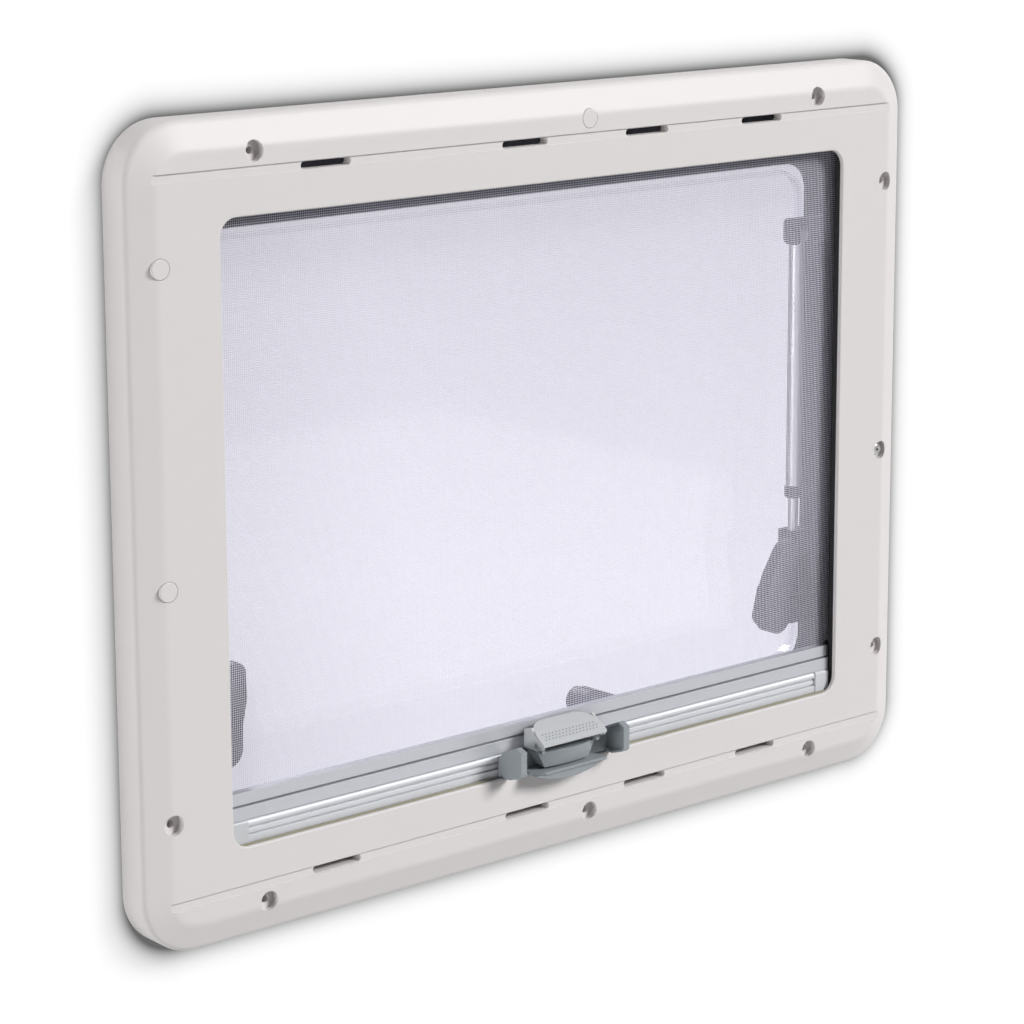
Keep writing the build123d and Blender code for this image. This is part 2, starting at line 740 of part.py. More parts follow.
# End pieces of both bars, with tongues that run in the side guides
tongue_length = guide_x - bar_end_x + guide_depth - guide_wall - tongue_gap
screen_bar_middle = (screen_bar_top + screen_bar_bottom) / 2
blind_bar_middle = (blind_bar_top + blind_bar_bottom) / 2
tuck_bottom = tuck_height - (mesh_tuck + mesh_tuck_gap) / 2
tongue_top = screen_bar_top + screen_tongue_rise
for name, side in sides.items():
    with BuildPart() as bar_end:
        with BuildSketch(across(side * bar_end_x)):
            with Locations(((screen_bar_front + screen_bar_back) / 2, screen_bar_middle)):
                Rectangle(screen_bar_back - screen_bar_front, screen_bar_height - 2 * screen_end_step)
        extrude(amount=side * screen_end_plate)
        with BuildSketch(across(side * bar_end_x)):
            with Locations((mesh_depth, (tongue_top + screen_bar_bottom) / 2)):
                Rectangle(tongue_thickness, tongue_top - screen_bar_bottom)
        extrude(amount=side * tongue_length)
        with BuildSketch(across(side * (bar_end_x - screen_end_plate))):
            with Locations((mesh_depth, tuck_bottom + mesh_tuck)):
                Rectangle(tuck_width, 2 * mesh_tuck)
        extrude(amount=side * 2 * guide_depth, mode=Mode.SUBTRACT)
    bar_end.part.label = f"flyscreen_bar_end_{name}"
    export_step(bar_end.part, f"parts/flyscreen_bar_end_{name}.step")
    with BuildPart() as bar_cap:
        with BuildSketch(across(side * blind_bar_end)):
            with Locations(((blind_bar_front + blind_bar_back - blind_cap_proud) / 2, blind_bar_middle)):
                RectangleRounded(blind_bar_back - blind_bar_front + blind_cap_proud, blind_bar_height,
                                 blind_cap_round)
        extrude(amount=side * blind_cap_length)
        with BuildSketch(across(side * bar_end_x)):
            with Locations((mesh_depth, blind_bar_middle)):
                Rectangle(tongue_thickness, blind_bar_height - 2 * blind_tongue_inset)
        extrude(amount=side * tongue_length)
    bar_cap.part.label = f"blind_bar_cap_{name}"
    export_step(bar_cap.part, f"parts/blind_bar_cap_{name}.step")

# Catch on the blind bar: an upright plate between two lugs that are hollow on their inner sides, and a
# tray with a curved keel in front of the frame's face
catch_plate_top = blind_bar_top - catch_plate_gap
lug_outline = [(lug_back, lug_bottom), (lug_back, pivot_height - lug_back_drop),
               (pivot_depth - lug_top_reach, lug_top), (-lug_front, pivot_height + lug_nose_rise),
               (-lug_front, pivot_height - lug_nose_drop), (-lug_foot_reach, lug_bottom)]
with BuildPart() as blind_catch:
    with BuildSketch(facing_room(catch_plate_back)):
        with Locations((0, (catch_plate_top + lug_bottom) / 2)):
            Rectangle(2 * lug_x, catch_plate_top - lug_bottom)
    extrude(amount=catch_plate_back - catch_plate_front)
    for side in (-1, 1):
        with BuildSketch(across(side * lug_x)) as lug:
            with BuildLine():
                Polyline(*lug_outline, close=True)
            make_face()
            fillet(lug.vertices().sort_by(Axis.Y)[:4], lug_round)
        extrude(amount=side * lug_thickness)
        with BuildSketch(across(side * lug_x)) as lug_hollow:
            with BuildLine():
                Polyline(*lug_outline, close=True)
            make_face()
            fillet(lug_hollow.vertices().sort_by(Axis.Y)[:4], lug_round)
            offset(amount=-lug_wall)
        extrude(amount=side * (lug_thickness - lug_wall), mode=Mode.SUBTRACT)
        with BuildSketch(across(side * lug_x)):
            with Locations(((catch_plate_back + lug_back) / 2, (catch_plate_top + lug_bottom) / 2)):
                Rectangle(catch_plate_back - lug_back, catch_plate_top - lug_bottom)
        extrude(amount=side * lug_thickness)
    with BuildSketch(level(lug_bottom)):
        with BuildLine():
            Polyline((-tray_side_half, tray_back), (-tray_half, -tray_front / 2),
                     (-tray_side_half + tray_front / 2, -tray_front), (tray_half, -tray_front),
                     (tray_side_half, catch_plate_front), (-tray_side_half, catch_plate_front), close=True)
        make_face()
    extrude(amount=tray_thickness)
    with BuildSketch(facing_room(-tray_keel_front + tray_keel_depth)):
        with BuildLine():
            ThreePointArc((-tray_keel_half, lug_bottom), (0, lug_bottom - tray_keel_drop),
                          (tray_keel_half, lug_bottom))
            Line((tray_keel_half, lug_bottom), (-tray_keel_half, lug_bottom))
        make_face()
    extrude(amount=tray_keel_depth)
blind_catch.part.label = "blind_catch"
export_step(blind_catch.part, "parts/blind_catch.step")

# Handle body on the flyscreen bar: a block with a bulging lip that narrows downwards, and ears for the pin
ear_half = handle_width / 2 - handle_wall - ear_gap
body_top = pivot_height - body_top_drop
body_plate_top = screen_bar_bottom + body_plate_rise
with BuildPart() as handle_body:
    with BuildSketch(facing_room(screen_bar_front)):
        with Locations((0, (body_plate_top + body_top) / 2)):
            Rectangle(2 * ear_half, body_plate_top - body_top)
    extrude(amount=screen_bar_front + body_plate)
    with BuildSketch(level(body_top)):
        with BuildLine():
            Polyline((-ear_half, -body_side_front), (-ear_half, body_back), (ear_half, body_back),
                     (ear_half, -body_side_front))
            ThreePointArc((ear_half, -body_side_front), (0, -body_front), (-ear_half, -body_side_front))
        make_face()
    with BuildSketch(level(body_top - body_height)):
        with BuildLine():
            Polyline((-body_foot_half, -body_foot_front), (-body_foot_half, body_back),
                     (body_foot_half, body_back), (body_foot_half, -body_foot_front))
            ThreePointArc((body_foot_half, -body_foot_front), (0, -body_foot_front - body_plate),
                          (-body_foot_half, -body_foot_front))
        make_face()
    loft()
    for side in (-1, 1):
        with BuildSketch(across(side * (ear_half - ear_thickness))):
            with Locations((pivot_depth, pivot_height)):
                Circle(ear_radius)
            with Locations((pivot_depth, (pivot_height + body_top) / 2)):
                Rectangle(2 * ear_radius, pivot_height - body_top)
        extrude(amount=side * ear_thickness)
    with BuildSketch(across(-handle_width / 2)):
        with Locations((pivot_depth, pivot_height)):
            Circle(pivot_radius)
    extrude(amount=handle_width)
handle_body.part.label = "screen_handle_body"
export_step(handle_body.part, "parts/screen_handle_body.step")

# Grip flap: a bent plate, rounded at its back in plan, with two cheeks that turn on the pin
flap_back = pivot_depth + flap_back_reach
flap_crease = pivot_depth + flap_crease_reach
flap_front = pivot_depth - flap_front_reach
with BuildPart() as handle_flap:
    with BuildSketch(across(-handle_width / 2)):
        with BuildLine():
            Polyline((flap_back, pivot_height + flap_back_rise), (flap_crease, pivot_height + flap_crease_rise),
                     (flap_front, pivot_height + flap_front_rise),
                     (flap_front, pivot_height + flap_front_rise - flap_thickness),
                     (flap_crease, pivot_height + flap_crease_rise - flap_thickness),
                     (flap_back, pivot_height + flap_back_rise - flap_thickness), close=True)
        make_face()
    extrude(amount=handle_width)
    with BuildSketch(level(screen_bar_bottom)):
        with Locations((0, flap_back - handle_width / 2)):
            RectangleRounded(handle_width, handle_width, flap_plan_round)
    extrude(amount=2 * screen_bar_height, mode=Mode.INTERSECT)
    for side in (-1, 1):
        with BuildSketch(across(side * (handle_width / 2 - handle_wall))):
            with BuildLine():
                Polyline((flap_back, pivot_height - cheek_back_drop), (flap_back, pivot_height + cheek_back_rise),
                         (pivot_depth + cheek_peak_reach, pivot_height + cheek_peak_rise),
                         (flap_crease, pivot_height + flap_crease_rise - flap_thickness / 2),
                         (flap_front, pivot_height + flap_front_rise - flap_thickness / 2),
                         (pivot_depth - cheek_nose_reach, pivot_height - cheek_nose_drop),
                         (pivot_depth, pivot_height - cheek_low_drop), close=True)
            make_face()
        extrude(amount=side * handle_wall)
    with BuildSketch(across(-handle_width / 2)):
        with Locations((pivot_depth, pivot_height)):
            Circle(pivot_radius + pivot_gap)
    extrude(amount=handle_width, mode=Mode.SUBTRACT)
handle_flap.part.label = "screen_handle_flap"
export_step(handle_flap.part, "parts/screen_handle_flap.step")

# Telescopic stays, one each side: bracket, tube with its eye, collar, rod and foot
bracket_bottom = stay_top - stay_eye_radius
bracket_height = 2 * stay_eye_radius + bracket_gap + bracket_wall
for name, side in sides.items():
    x = side * stay_x
    slot_half = stay_eye_width / 2 + stay_fit
    inner_cheek = x - side * (slot_half + bracket_wall)
    with BuildPart() as bracket:
        with BuildSketch(across(inner_cheek)):
            with Locations((stay_depth, bracket_bottom + bracket_height / 2)):
                RectangleRounded(2 * stay_eye_radius, bracket_height, stay_eye_radius / 2)
        extrude(amount=side * (collar_half_x - stay_x + slot_half + bracket_wall))
        with BuildSketch(across(x - side * slot_half)):
            with Locations((stay_depth, bracket_bottom + bracket_height / 2 - bracket_wall)):
                Rectangle(3 * stay_eye_radius, bracket_height)
        extrude(amount=side * 2 * slot_half, mode=Mode.SUBTRACT)
        with BuildSketch(across(side * collar_half_x)):
            with Locations((stay_depth, bracket_bottom + bracket_height / 2)):
                RectangleRounded(2 * stay_eye_radius, bracket_height + 2 * bracket_flange, stay_eye_radius / 2)
        extrude(amount=-side * bracket_wall)
        with BuildSketch(across(inner_cheek)):
            with Locations((stay_depth, stay_top)):
                Circle(stay_pin_radius)
        extrude(amount=side * (2 * slot_half + 2 * bracket_wall))
        with BuildSketch(across(inner_cheek)):
            with Locations((stay_depth, stay_top)):
                Circle(stay_pin_head)
        extrude(amount=-side * stay_pin_head_height)
    bracket.part.label = f"stay_bracket_{name}"
    export_step(bracket.part, f"parts/stay_bracket_{name}.step")

    with BuildPart() as tube:
        with BuildSketch(level(stay_tube_bottom)):
            with Locations((x, stay_depth)):
                Circle(stay_tube_radius)
        extrude(amount=stay_top - stay_eye_radius + stay_neck - stay_tube_bottom)
        with BuildSketch(level(stay_tube_bottom)):
            with Locations((x, stay_depth)):
                Circle(stay_tube_radius - stay_tube_wall)
        extrude(amount=stay_top - stay_eye_radius - stay_bore_stop - stay_tube_bottom, mode=Mode.SUBTRACT)
        with BuildSketch(across(x - stay_eye_width / 2)):
            with Locations((stay_depth, stay_top)):
                Circle(stay_eye_radius)
        extrude(amount=stay_eye_width)
        with BuildSketch(across(x - 2 * stay_eye_radius)):
            with Locations((stay_depth, stay_top)):
                Circle(stay_pin_radius + stay_fit)
        extrude(amount=4 * stay_eye_radius, mode=Mode.SUBTRACT)
        for face_side in (-1, 1):
            with BuildSketch(across(x + face_side * stay_eye_width / 2)):
                with Locations((stay_depth, stay_top)):
                    Circle(stay_eye_radius + bracket_gap)
            extrude(amount=face_side * stay_eye_width, mode=Mode.SUBTRACT)
    tube.part.label = f"stay_tube_{name}"
    export_step(tube.part, f"parts/stay_tube_{name}.step")

    with BuildPart() as collar:
        with BuildSketch(level(stay_tube_bottom - stay_collar_height)):
            with Locations((x, stay_depth)):
                Circle(stay_collar_radius)
                Circle(stay_rod_radius + stay_fit, mode=Mode.SUBTRACT)
        extrude(amount=stay_collar_height)
        fillet(collar.edges().filter_by(GeomType.CIRCLE).sort_by(SortBy.RADIUS)[-2:], stay_collar_round)
    collar.part.label = f"stay_collar_{name}"
    export_step(collar.part, f"parts/stay_collar_{name}.step")

    with BuildPart() as rod:
        with BuildSketch(level(stay_foot_top - stay_socket + stay_fit)):
            with Locations((x, stay_depth)):
                Circle(stay_rod_radius)
        extrude(amount=stay_rod_show + stay_socket + stay_rod_length)
    rod.part.label = f"stay_rod_{name}"
    export_step(rod.part, f"parts/stay_rod_{name}.step")

    foot_front = stay_depth - stay_rod_radius - stay_foot_wall
    foot_edge = stay_foot_top - stay_foot_block - stay_foot_slope
    with BuildPart() as foot:
        with BuildSketch(across(x - side * stay_foot_inner)):
            with BuildLine():
                Polyline((tub_face, stay_foot_top), (foot_front, stay_foot_top),
                         (foot_front, stay_foot_top - stay_foot_block),
                         (tub_face - stay_foot_plate, foot_edge),
                         (tub_face - stay_foot_plate, stay_foot_bottom),
                         (tub_face, stay_foot_bottom), close=True)
            make_face()
        extrude(amount=side * (stay_foot_inner + stay_foot_outer))
        with BuildSketch(level(stay_foot_top)):
            with Locations((x, stay_depth)):
                Circle(stay_rod_radius + stay_fit)
        extrude(amount=-stay_socket, mode=Mode.SUBTRACT)
    foot.part.label = f"stay_foot_{name}"
    export_step(foot.part, f"parts/stay_foot_{name}.step")


def along_grip(x, z, angle):
    """A section plane through a catch's pin: x runs along the grip and y is the depth."""
    way = (cos(radians(angle)), sin(radians(angle)))
    return Plane(origin=(x, -frame_depth, centre_z + z), x_dir=(way[0], 0, way[1]), z_dir=(-way[1], 0, way[0]))


# Sash catches: a base with its pin on the pane, a lever that turns on the pin and a striker on the frame
catches = {
    "left": (-catch_x, catch_z, 90, 180, catch_hub, catch_belly, catch_grip_lift),
    "right": (catch_x, catch_z, 90, 0, catch_hub, catch_belly, catch_grip_lift),
    "bottom": (bottom_catch_x, bottom_catch_z, bottom_catch_angle, -90, bottom_catch_hub,
               bottom_catch_belly, bottom_catch_grip_lift),
}
tab_back = catch_front + catch_tab_thickness
for name, (x, z, grip_angle, tab_angle, hub, belly, grip_lift) in catches.items():
    grip_way = Location((x, z, 0), (0, 0, grip_angle))
    tab_way = Location((x, z, 0), (0, 0, tab_angle))
    with BuildPart() as base:
        with BuildSketch(facing_room(tub_face)):
            with Locations(grip_way):
                with Locations((0, 0)):
                    Circle(catch_base_radius)
                with Locations((catch_base_tail, 0)):
                    Circle(catch_base_radius / 2)
            make_hull()
        extrude(amount=catch_lift - catch_gap)
        with BuildSketch(facing_room(tub_face)):
            with Locations(grip_way):
                Circle(catch_pin_radius)
        extrude(amount=tub_face - catch_front + catch_gap)
        with BuildSketch(facing_room(catch_front - catch_gap)):
            with Locations(grip_way):
                Circle(catch_pin_head)
        extrude(amount=catch_pin_head_height)
        fillet(base.edges().group_by(Axis.Y)[0], catch_pin_head_height / 2)
    base.part.label = f"catch_base_{name}"
    export_step(base.part, f"parts/catch_base_{name}.step")

    with BuildPart() as lever:
        with BuildSketch(facing_room(catch_back)):
            with Locations(grip_way):
                with Locations((0, 0)):
                    Circle(hub)
                with Locations((catch_belly_reach, 0)):
                    Circle(belly)
                with Locations((catch_length - catch_grip, 0)):
                    Circle(catch_grip)
            make_hull()
        extrude(amount=catch_thickness + grip_lift)
        fillet(lever.edges().group_by(Axis.Y)[0], catch_round)
        with BuildSketch(along_grip(x, z, grip_angle)):
            with BuildLine():
                Polyline((-2 * hub, catch_front), (catch_flat, catch_front),
                         (catch_length, catch_front - grip_lift),
                         (catch_length, catch_front - grip_lift + catch_grip_thickness),
                         (catch_flat, catch_back), (-2 * hub, catch_back), close=True)
            make_face()
        extrude(amount=2 * catch_hub, both=True, mode=Mode.INTERSECT)
        with BuildSketch(facing_room(tab_back)):
            with Locations(tab_way):
                with Locations((catch_tab_reach / 2, 0)):
                    Rectangle(catch_tab_reach, catch_tab_width)
        extrude(amount=catch_tab_thickness)
        with BuildSketch(facing_room(catch_back)):
            with Locations(grip_way):
                Circle(catch_pin_radius + catch_pin_gap)
        extrude(amount=2 * catch_thickness, mode=Mode.SUBTRACT)
    lever.part.label = f"catch_lever_{name}"
    export_step(lever.part, f"parts/catch_lever_{name}.step")

    wall_way = collar_half_z + z if name == "bottom" else collar_half_x - abs(x)
    with BuildPart() as striker:
        with BuildSketch(facing_room(tab_back + striker_gap + striker_thickness)):
            with Locations(tab_way):
                with Locations(((wall_way + catch_tab_reach - striker_overlap) / 2, 0)):
                    Rectangle(wall_way - catch_tab_reach + striker_overlap, striker_width)
        extrude(amount=striker_thickness)
        with BuildSketch(facing_room(tab_back + striker_gap + striker_foot / 2)):
            with Locations(tab_way):
                with Locations((wall_way - striker_thickness / 2, 0)):
                    Rectangle(striker_thickness, striker_foot_width)
        extrude(amount=striker_foot)
    striker.part.label = f"catch_striker_{name}"
    export_step(striker.part, f"parts/catch_striker_{name}.step")
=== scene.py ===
"""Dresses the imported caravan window: plastics, sheets, screen cloth, grip dots, wall, lamps and camera."""

import json
import math

import bpy
from bpy.props import FloatProperty, FloatVectorProperty, IntProperty, PointerProperty
from mathutils import Matrix, Vector


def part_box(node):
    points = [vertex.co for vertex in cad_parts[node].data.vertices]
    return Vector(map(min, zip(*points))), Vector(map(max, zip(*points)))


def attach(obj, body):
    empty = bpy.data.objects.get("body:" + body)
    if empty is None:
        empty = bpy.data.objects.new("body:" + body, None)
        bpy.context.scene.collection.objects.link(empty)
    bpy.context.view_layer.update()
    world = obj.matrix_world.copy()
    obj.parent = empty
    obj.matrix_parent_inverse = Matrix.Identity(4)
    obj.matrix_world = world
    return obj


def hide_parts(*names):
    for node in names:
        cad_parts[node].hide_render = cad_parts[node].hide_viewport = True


bl_info = {
    "name": "Caravan window",
    "version": (1, 0, 0),
    "blender": (4, 5, 0),
    "location": "3D View > Sidebar > Window",
    "description": "Finishes of a top-hung caravan window in its wall",
    "category": "Object",
}

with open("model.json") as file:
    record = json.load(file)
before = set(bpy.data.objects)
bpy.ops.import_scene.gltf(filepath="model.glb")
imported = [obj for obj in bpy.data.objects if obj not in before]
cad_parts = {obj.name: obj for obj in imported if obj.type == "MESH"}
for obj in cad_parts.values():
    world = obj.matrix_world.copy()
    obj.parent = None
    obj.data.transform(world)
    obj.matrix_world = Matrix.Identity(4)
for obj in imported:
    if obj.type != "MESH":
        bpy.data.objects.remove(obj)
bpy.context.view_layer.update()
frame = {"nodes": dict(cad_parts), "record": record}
nodes_of_slot = {}
for part in frame["record"]["subparts"]:
    nodes_of_slot.setdefault(part["material_slot"], []).append(part["node"])

cloth_low, cloth_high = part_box("flyscreen_mesh")
flap_low, flap_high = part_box("screen_handle_flap")
frame_low, frame_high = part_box("inner_frame")


def colour(name, default, description):
    """A colour that the sidebar shows."""
    return FloatVectorProperty(name=name, description=description, default=default, subtype="COLOR",
                               size=3, min=0, max=1)


def length(name, default, description):
    """A length in metres that the sidebar shows."""
    return FloatProperty(name=name, description=description, default=default, unit="LENGTH", precision=5)


class FrameLooks(bpy.types.PropertyGroup):
    face: colour("Frame", (0.735, 0.707, 0.700), "Moulded inner frame")
    outer: colour("Outer frame", (0.070, 0.069, 0.084), "Dark outer frame and its flange")
    rubber: colour("Seal", (0.020, 0.020, 0.022), "Rubber seal of the sash")
    hinge: colour("Hinge", (0.22, 0.22, 0.23), "Hinge rail and strip")
    screw: colour("Screw", (0.62, 0.61, 0.60), "Screw in the open recess")
    edge: length("Edge round", 0.0007, "How softly the moulded edges catch light")
    crease: length("Crease round", 0.0034, "How softly the outer crease of the inner frame turns")
    grain: length("Grain", 0.0011, "Size of the moulding's fine grain")


class PaneLooks(bpy.types.PropertyGroup):
    sheet: colour("Sheet", (0.978, 0.976, 0.990), "Tint of one face of the acrylic")
    index: FloatProperty(name="Index", description="Refractive index of acrylic", default=1.49, min=1, max=2)


class ScreenLooks(bpy.types.PropertyGroup):
    thread: colour("Thread", (0.85, 0.838, 0.95), "Threads of the flyscreen")
    pitch: length("Mesh pitch", 0.0016, "From one thread to the next")
    width: length("Thread width", 0.00034, "Width of a thread")
    wound: colour("Wound cloth", (0.30, 0.30, 0.33), "Cloth on the rollers")


class BarLooks(bpy.types.PropertyGroup):
    bar: colour("Flyscreen bar", (0.57, 0.58, 0.62), "Anodised bar of the flyscreen")
    blind: colour("Blind bar", (0.68, 0.69, 0.72), "Anodised bar of the blind")
    cap: colour("Caps", (0.60, 0.61, 0.63), "End caps of the blind bar")
    guide: colour("Guides", (0.012, 0.012, 0.013), "Side guides and bar ends")
    pile: colour("Pile", (0.36, 0.34, 0.26), "Pile strips under the blind bar")
    pile_rise: length("Pile rise", 0.0009, "How far the pile shows above the opening's lower lip")


class HandleLooks(bpy.types.PropertyGroup):
    body: colour("Handle", (0.300, 0.330, 0.350), "Handle body and catch")
    grip: colour("Grip", (0.56, 0.575, 0.585), "Grip flap")
    dot_rows: IntProperty(name="Dot rows", description="Rows of dots on the grip", default=3, min=1, max=6)
    dots: IntProperty(name="Dots in a row", description="Dots along one row", default=16, min=2, max=40)
    dot_size: length("Dot size", 0.0012, "Width of one dot")
    dot_pitch: length("Dot pitch", 0.0033, "From one dot to the next along a row")
    row_pitch: length("Row pitch", 0.0026, "From one row to the next")


class FittingLooks(bpy.types.PropertyGroup):
    tube: colour("Stay tube", (0.88, 0.88, 0.91), "Drawn tubes and rods of the stays")
    stay: colour("Stay plastic", (0.035, 0.035, 0.042), "Brackets, collars and feet of the stays")
    catch: colour("Catch", (0.050, 0.050, 0.058), "Turning catches")
    striker: colour("Striker", (0.030, 0.030, 0.032), "Pressed strikers")


class StageLooks(bpy.types.PropertyGroup):
    wall_thickness: length("Wall", 0.030, "Thickness of the vehicle's wall")
    cutout_width: length("Cut-out width", 0.700, "Width of the wall's cut-out")
    cutout_height: length("Cut-out height", 0.550, "Height of the wall's cut-out")
    cutout_corner: length("Cut-out corner", 0.040, "Radius of the cut-out's corners")
    wall: colour("Wall colour", (0.80, 0.80, 0.80), "Pale wall and floor")
    # Shade and Shade width set the depth and reach of the shadow painted on the wall round the frame
    shade: FloatProperty(name="Shade", description="Depth of the soft shade round the frame", default=0.85,
                         min=0, max=1)
    shade_width: length("Shade width", 0.0086, "How far the soft shade reaches")
    key: FloatProperty(name="Key lamp", description="Large lamp at the upper right", default=1360, min=0)
    side: FloatProperty(name="Side lamp", description="Lamp that grazes the wall from the left", default=150,
                        min=0)
    back: FloatProperty(name="Back lamp", description="Lamp outside the vehicle", default=170, min=0)
    sky: FloatProperty(name="Sky", description="Even light from all round", default=0.12, min=0)


GROUPS = {
    "window_frame": FrameLooks,
    "window_pane": PaneLooks,
    "window_screen": ScreenLooks,
    "window_bars": BarLooks,
    "window_handle": HandleLooks,
    "window_fittings": FittingLooks,
    "window_stage": StageLooks,
}


# Materials

class NodeTree:
    """A tree of nodes and short ways to add and join them."""

    def __init__(self, tree):
        self.nodes = tree.nodes
        self.links = tree.links

    def add(self, kind, **settings):
        node = self.nodes.new(kind)
        for key, value in settings.items():
            setattr(node, key, value)
        return node

    def join(self, start, end):
        self.links.new(start, end)

    def give(self, socket, value):
        """Sets a socket to a number, or joins it to an output."""
        if isinstance(value, (int, float)):
            socket.default_value = value
        else:
            self.join(value, socket)

    def maths(self, operation, first, second=None):
        node = self.add("ShaderNodeMath", operation=operation)
        for socket, value in zip(node.inputs, (first, second)):
            if value is not None:
                self.give(socket, value)
        return node.outputs[0]

    def ramp(self, value, start, end, first, last):
        """Draws a value that runs from start to end onto first to last, and holds it there."""
        node = self.add("ShaderNodeMapRange")
        for name, number in (("From Min", start), ("From Max", end), ("To Min", first), ("To Max", last)):
            node.inputs[name].default_value = number
        self.join(value, node.inputs["Value"])
        return node.outputs[0]

    def tinted(self, kind, tint):
        """A shader with one even colour."""
        shader = self.add(kind)
        shader.inputs["Color"].default_value = (*tint, 1)
        return shader

    def mixed(self, share, first, second):
        """Two shaders mixed by the second one's share."""
        mix = self.add("ShaderNodeMixShader")
        self.give(mix.inputs[0], share)
        self.join(first.outputs[0], mix.inputs[1])
        self.join(second.outputs[0], mix.inputs[2])
        return mix

    def summed(self, first, second):
        """Two shaders added up."""
        both = self.add("ShaderNodeAddShader")
        self.join(first.outputs[0], both.inputs[0])
        self.join(second.outputs[0], both.inputs[1])
        return both


class Shading(NodeTree):
    """One material, its nodes and what its looks have in common."""

    def __init__(self, name):
        self.material = bpy.data.materials.new(name)
        self.material.use_nodes = True
        super().__init__(self.material.node_tree)
        self.nodes.clear()
        self.output = self.add("ShaderNodeOutputMaterial")

    def finish(self, shader):
        self.join(shader.outputs[0], self.output.inputs["Surface"])
        return self.material

    def place(self):
        """The piece's own place, and the same as separate x, y and z outputs."""
        coordinates = self.add("ShaderNodeTexCoord")
        split = self.add("ShaderNodeSeparateXYZ")
        self.join(coordinates.outputs["Object"], split.inputs[0])
        return coordinates.outputs["Object"], split.outputs

    def noise(self, place, scale):
        """A fine random pattern."""
        speck = self.add("ShaderNodeTexNoise")
        speck.inputs["Scale"].default_value = scale
        self.join(place, speck.inputs["Vector"])
        return speck.outputs["Fac"]

    def surface(self, base, roughness, metallic=0.0, specular=0.5):
        shader = self.add("ShaderNodeBsdfPrincipled")
        shader.inputs["Base Color"].default_value = (*base, 1)
        shader.inputs["Roughness"].default_value = roughness
        shader.inputs["Metallic"].default_value = metallic
        shader.inputs["Specular IOR Level"].default_value = specular
        return shader

    def relief(self, shader, pattern, depth, height, edge=None):
        """Gives a shader a fine relief, on edges that are softly rounded."""
        bump = self.add("ShaderNodeBump")
        bump.inputs["Strength"].default_value = depth
        bump.inputs["Distance"].default_value = height
        self.join(pattern, bump.inputs["Height"])
        if edge is not None:
            edges = self.add("ShaderNodeBevel", samples=4)
            self.give(edges.inputs["Radius"], edge)
            self.join(edges.outputs[0], bump.inputs["Normal"])
        self.join(bump.outputs[0], shader.inputs["Normal"])


def moulded(name, base, edge, grain, roughness=0.42, depth=0.03, specular=0.5, crease=None):
    """Injection-moulded plastic with softly rounded edges and a fine grain."""
    look = Shading(name)
    shader = look.surface(base, roughness, specular=specular)
    place, axes = look.place()
    edges = crease_radius(look, axes, edge, crease) if crease else edge
    look.relief(shader, look.noise(place, 1 / grain), depth, 0.0002, edges)
    return look.finish(shader)


def crease_radius(look, axes, edge, crease):
    """A larger radius along the outer crease of the inner frame than at its other edges."""
    from_outline, from_front = 0.013, 0.018
    middle_z = (frame_low[2] + frame_high[2]) / 2
    reach = []
    for axis, middle, end in (("X", 0.0, frame_high[0]), ("Z", middle_z, frame_high[2] - middle_z)):
        away = look.maths("ABSOLUTE", look.maths("SUBTRACT", axes[axis], middle))
        reach.append(look.maths("GREATER_THAN", away, end - from_outline))
    front = look.maths("LESS_THAN", axes["Y"], frame_low[1] + from_front)
    near = look.maths("MULTIPLY", look.maths("MAXIMUM", reach[0], reach[1]), front)
    return look.maths("ADD", look.maths("MULTIPLY", near, crease - edge), edge)


def drawn_metal(name, base, roughness, metallic, edge, along_x=True):
    """Satin metal with fine draw lines along its length."""
    look = Shading(name)
    shader = look.surface(base, roughness, metallic=metallic)
    place, _ = look.place()
    stretch = look.add("ShaderNodeMapping")
    along, across = 6, 2600
    stretch.inputs["Scale"].default_value = (along, across, across) if along_x else (across, across, along)
    look.join(place, stretch.inputs["Vector"])
    look.relief(shader, look.noise(stretch.outputs[0], 1), 0.05, 0.0001, edge)
    return look.finish(shader)


def acrylic_sheet(name, tint, index):
    """Clear sheet that mirrors a little at a slant, on its outer faces only."""
    look = Shading(name)
    clear = look.tinted("ShaderNodeBsdfTransparent", tint)
    mirror = look.add("ShaderNodeBsdfGlossy")
    mirror.inputs["Roughness"].default_value = 0.05
    slant = look.add("ShaderNodeFresnel")
    slant.inputs["IOR"].default_value = index
    side = look.add("ShaderNodeNewGeometry")
    outside = look.maths("SUBTRACT", 1.0, side.outputs["Backfacing"])
    return look.finish(look.mixed(look.maths("MULTIPLY", slant.outputs[0], outside), clear, mirror))


def screen_cloth(name, thread, pitch, width):
    """Open plain weave: threads both ways with clear holes between them."""
    look = Shading(name)
    _, axes = look.place()
    on_thread = [look.maths("LESS_THAN", look.maths("FRACT", look.maths("MULTIPLY", axes[axis], 1 / pitch)),
                            width / pitch) for axis in ("X", "Z")]
    covered = look.maths("MAXIMUM", *on_thread)
    clear = look.add("ShaderNodeBsdfTransparent")
    lit = look.tinted("ShaderNodeBsdfDiffuse", thread)
    through = look.tinted("ShaderNodeBsdfTranslucent", thread)
    through_share = 0.25
    return look.finish(look.mixed(covered, clear, look.mixed(through_share, lit, through)))


def wound_cloth(name, base):
    """Cloth rolled up on a tube."""
    look = Shading(name)
    shader = look.surface(base, 0.9, specular=0.2)
    place, _ = look.place()
    look.relief(shader, look.noise(place, 900), 0.2, 0.0002)
    return look.finish(shader)


def coat(piece, material):
    """Gives one part its only finish."""
    piece.data.materials.clear()
    piece.data.materials.append(material)


def dress(slot, material):
    """Gives every part of a slot its finish."""
    for node in nodes_of_slot[slot]:
        coat(frame["nodes"][node], material)


# Meshes

